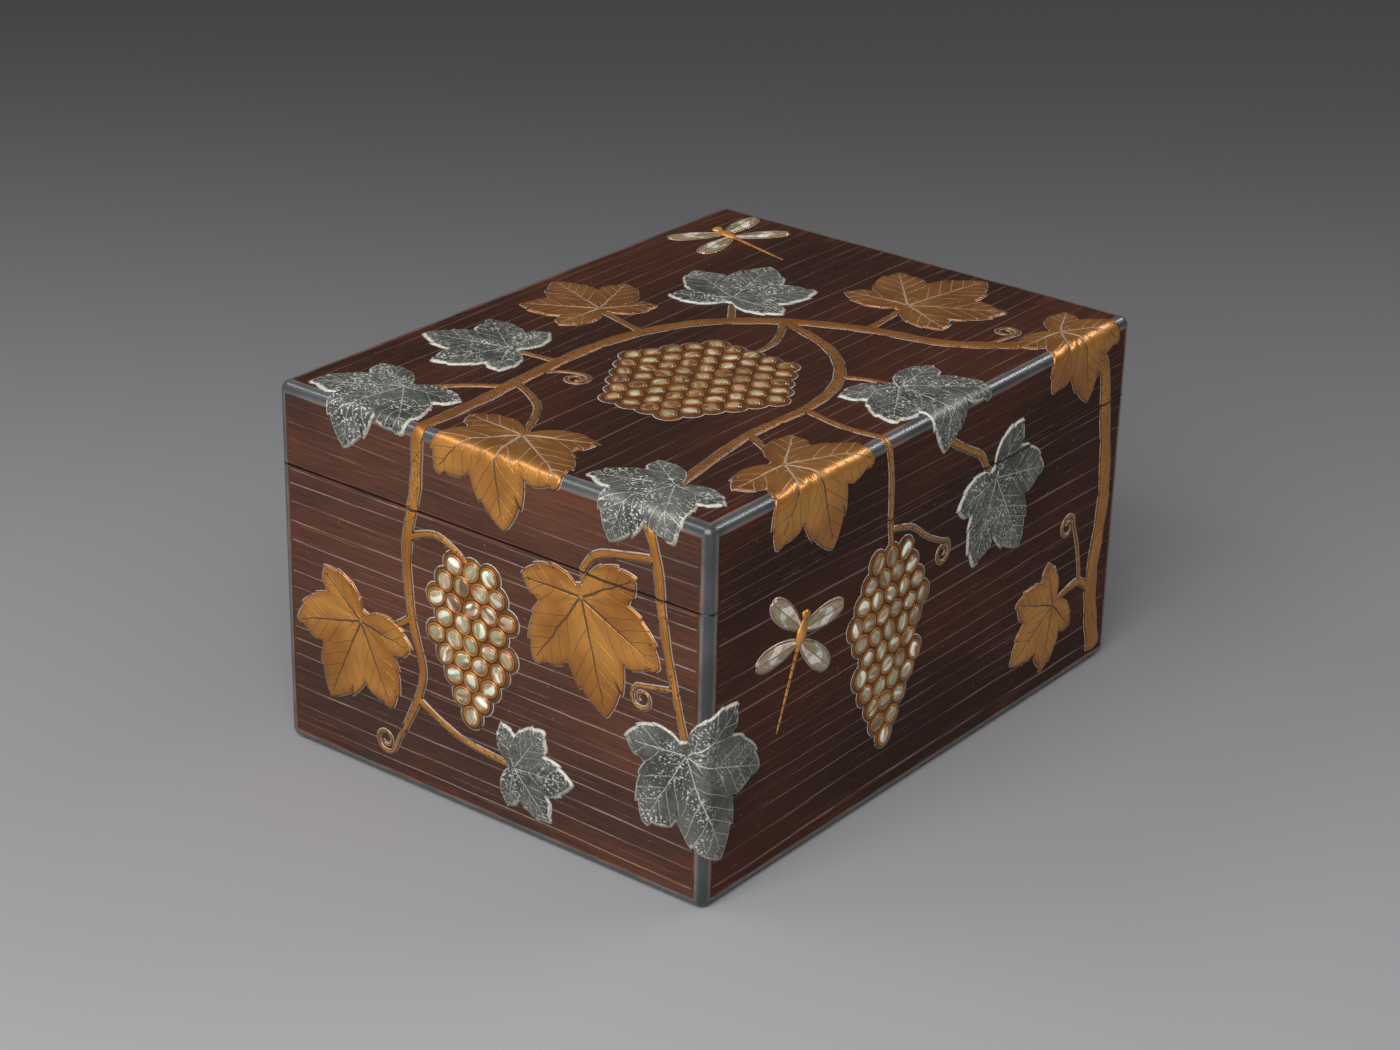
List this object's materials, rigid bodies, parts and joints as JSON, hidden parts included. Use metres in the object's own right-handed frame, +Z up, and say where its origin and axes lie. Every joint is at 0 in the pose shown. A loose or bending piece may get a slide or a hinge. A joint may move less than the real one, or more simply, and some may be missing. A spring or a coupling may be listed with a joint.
{
  "type": "bunko document box",
  "caption": "Rectangular lacquered wooden document box with a flush lift-off lid, rounded dark edging and a raised grape vine in gold lacquer, pewter and shell.",
  "frame": {"origin": "middle of the underside, on the surface that the box stands on", "axes": "+Z up, +Y from the front wall to the back wall along the length of the box, +X to the right seen from the front"},
  "size_m": [0.2519, 0.3319, 0.1839],
  "materials": {
    "lacquered_wood": "dark red-brown lacquer over open grain, satin",
    "edging_lacquer": "dark grey polished lacquer",
    "black_lacquer": "black polished lacquer",
    "gold_lacquer": "raised lacquer with gold powder, polished",
    "pewter": "dull pewter sheet with pale worn edges",
    "shell": "mother-of-pearl, glossy"
  },
  "bodies": {
    "box": {"floor_board": "lacquered_wood", "front_wall": "lacquered_wood", "back_wall": "lacquered_wood", "left_wall": "lacquered_wood", "right_wall": "lacquered_wood", "front_rim": "black_lacquer", "back_rim": "black_lacquer", "left_rim": "black_lacquer", "right_rim": "black_lacquer", "front_left_corner_edging": "edging_lacquer", "front_right_corner_edging": "edging_lacquer", "back_left_corner_edging": "edging_lacquer", "back_right_corner_edging": "edging_lacquer", "front_base_edging": "edging_lacquer", "back_base_edging": "edging_lacquer", "left_base_edging": "edging_lacquer", "right_base_edging": "edging_lacquer", "gold_leaf_front_seam_lower": "gold_lacquer", "pewter_leaf_right_seam_lower": "pewter", "gold_leaf_front_low": "gold_lacquer", "pewter_leaf_front_low": "pewter", "pewter_leaf_corner": "pewter", "gold_leaf_right_low": "gold_lacquer", "front_grape_bed": "gold_lacquer", "front_grapes": "shell", "right_grape_bed": "gold_lacquer", "right_grapes": "shell", "right_dragonfly_body": "gold_lacquer", "right_dragonfly_wings": "shell", "body_vine": "gold_lacquer"},
    "lid": {"lid_top_board": "lacquered_wood", "lid_front_wall": "lacquered_wood", "lid_back_wall": "lacquered_wood", "lid_left_wall": "lacquered_wood", "lid_right_wall": "lacquered_wood", "lid_front_top_edging": "edging_lacquer", "lid_back_top_edging": "edging_lacquer", "lid_left_top_edging": "edging_lacquer", "lid_right_top_edging": "edging_lacquer", "lid_front_left_corner_edging": "edging_lacquer", "lid_front_right_corner_edging": "edging_lacquer", "lid_back_left_corner_edging": "edging_lacquer", "lid_back_right_corner_edging": "edging_lacquer", "gold_leaf_top_back": "gold_lacquer", "pewter_leaf_top_back": "pewter", "gold_leaf_top_left": "gold_lacquer", "pewter_leaf_top_left": "pewter", "pewter_leaf_left_edge": "pewter", "gold_leaf_front_edge": "gold_lacquer", "pewter_leaf_front_edge": "pewter", "gold_leaf_right_edge": "gold_lacquer", "pewter_leaf_right_edge": "pewter", "gold_leaf_right_back": "gold_lacquer", "gold_leaf_front_seam_upper": "gold_lacquer", "pewter_leaf_right_seam_upper": "pewter", "top_grape_bed": "gold_lacquer", "top_grapes": "shell", "top_dragonfly_body": "gold_lacquer", "top_dragonfly_wings": "shell", "lid_vine": "gold_lacquer"}
  },
  "joints": [
    {"name": "lid_lift", "type": "slide", "parent": "box", "child": "lid", "axis": [0, 0, 1], "range_m": [0, 0.15]}
  ]
}
